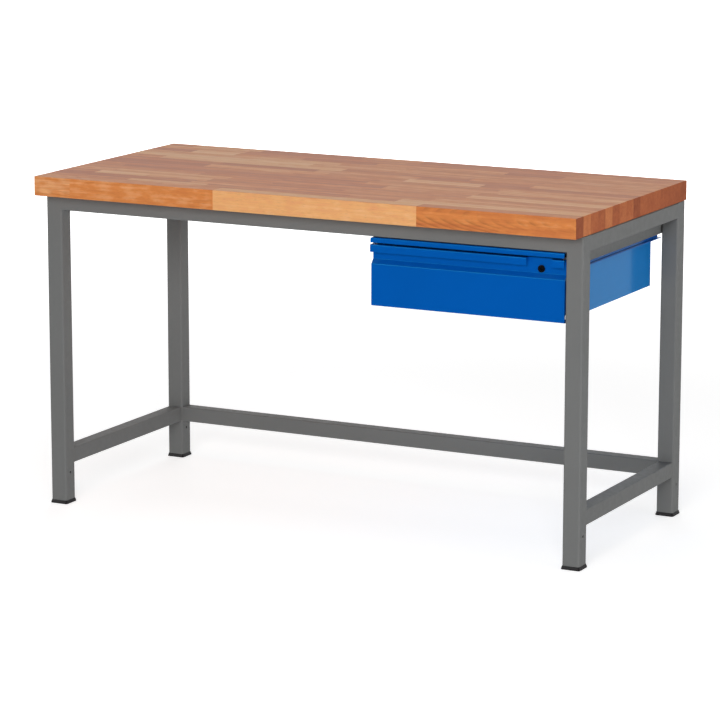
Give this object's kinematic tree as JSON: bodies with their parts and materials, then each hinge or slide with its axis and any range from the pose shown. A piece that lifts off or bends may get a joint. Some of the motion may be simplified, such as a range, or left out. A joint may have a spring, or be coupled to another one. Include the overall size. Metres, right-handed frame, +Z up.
{
  "type": "workbench",
  "caption": "Workbench with a thick glued beech worktop on a welded grey square-tube frame and a lockable blue sheet-steel drawer hung under the right side.",
  "frame": {"origin": "on the floor, under the middle of the worktop", "axes": "+X along the worktop to the right, +Y from the front to the back, +Z up"},
  "size_m": [1.5, 0.7, 0.865],
  "materials": {
    "beech": "oiled, satin",
    "grey_coat": "satin powder coat",
    "blue_coat": "gloss powder coat",
    "black_plastic": "matt",
    "white_nylon": "satin",
    "zinc": "zinc plated",
    "black_lock": "black, semi-gloss"
  },
  "bodies": {
    "frame": {"worktop": "beech", "leg_front_left": "grey_coat", "foot_front_left": "black_plastic", "carrier_screw_front_left": "zinc", "housing_bolt_front_left": "zinc", "leg_front_right": "grey_coat", "foot_front_right": "black_plastic", "carrier_screw_front_right": "zinc", "housing_bolt_front_right": "zinc", "leg_back_left": "grey_coat", "foot_back_left": "black_plastic", "carrier_screw_back_left": "zinc", "housing_bolt_back_left": "zinc", "leg_back_right": "grey_coat", "foot_back_right": "black_plastic", "carrier_screw_back_right": "zinc", "housing_bolt_back_right": "zinc", "upper_rail_front": "grey_coat", "upper_rail_back": "grey_coat", "upper_rail_left": "grey_coat", "upper_rail_right": "grey_coat", "lower_rail_left": "grey_coat", "lower_rail_right": "grey_coat", "lower_rail_back": "grey_coat", "top_plate_front_1": "grey_coat", "top_screw_front_1": "zinc", "top_plate_front_2": "grey_coat", "top_screw_front_2": "zinc", "top_plate_back_1": "grey_coat", "top_screw_back_1": "zinc", "top_plate_back_2": "grey_coat", "top_screw_back_2": "zinc", "top_plate_left": "grey_coat", "top_screw_left": "zinc", "top_plate_right": "grey_coat", "top_screw_right": "zinc", "carrier_left": "grey_coat", "slide_left_outer": "zinc", "carrier_right": "grey_coat", "slide_right_outer": "zinc", "drawer_housing": "blue_coat", "lock_keeper": "zinc"},
    "drawer": {"drawer_box": "blue_coat", "drawer_front": "blue_coat", "slide_left_inner": "zinc", "slide_right_inner": "zinc", "lock_body": "black_lock", "lock_nut": "zinc", "front_buffer_left": "white_nylon", "front_buffer_right": "white_nylon"},
    "lock_cylinder": {"lock_plug": "black_lock", "lock_cam": "zinc", "lock_cam_screw": "zinc"},
    "slide_left_outer_cage": {"slide_left_outer_cage": "zinc"},
    "slide_left_middle": {"slide_left_middle": "zinc"},
    "slide_left_inner_cage": {"slide_left_inner_cage": "zinc"},
    "slide_right_outer_cage": {"slide_right_outer_cage": "zinc"},
    "slide_right_middle": {"slide_right_middle": "zinc"},
    "slide_right_inner_cage": {"slide_right_inner_cage": "zinc"}
  },
  "joints": [
    {"name": "drawer_slide", "type": "slide", "parent": "frame", "child": "drawer", "axis": [0, -1, 0], "range_m": [0, 0.48]},
    {"name": "slide_left_outer_cage_run", "type": "slide", "parent": "frame", "child": "slide_left_outer_cage", "axis": [0, -1, 0], "range_m": [0, 0.12]},
    {"name": "slide_left_middle_run", "type": "slide", "parent": "frame", "child": "slide_left_middle", "axis": [0, -1, 0], "range_m": [0, 0.24]},
    {"name": "slide_left_inner_cage_run", "type": "slide", "parent": "frame", "child": "slide_left_inner_cage", "axis": [0, -1, 0], "range_m": [0, 0.36]},
    {"name": "slide_right_outer_cage_run", "type": "slide", "parent": "frame", "child": "slide_right_outer_cage", "axis": [0, -1, 0], "range_m": [0, 0.12]},
    {"name": "slide_right_middle_run", "type": "slide", "parent": "frame", "child": "slide_right_middle", "axis": [0, -1, 0], "range_m": [0, 0.24]},
    {"name": "slide_right_inner_cage_run", "type": "slide", "parent": "frame", "child": "slide_right_inner_cage", "axis": [0, -1, 0], "range_m": [0, 0.36]},
    {"name": "lock_turn", "type": "hinge", "parent": "drawer", "child": "lock_cylinder", "pos_m": [0.6333, -0.2825, 0.72705], "axis": [0, 1, 0], "range_deg": [0, 90]}
  ],
  "couplings": [
    {"joint": "slide_left_outer_cage_run", "follows": "drawer_slide", "ratio": 0.25},
    {"joint": "slide_left_middle_run", "follows": "drawer_slide", "ratio": 0.5},
    {"joint": "slide_left_inner_cage_run", "follows": "drawer_slide", "ratio": 0.75},
    {"joint": "slide_right_outer_cage_run", "follows": "drawer_slide", "ratio": 0.25},
    {"joint": "slide_right_middle_run", "follows": "drawer_slide", "ratio": 0.5},
    {"joint": "slide_right_inner_cage_run", "follows": "drawer_slide", "ratio": 0.75}
  ]
}
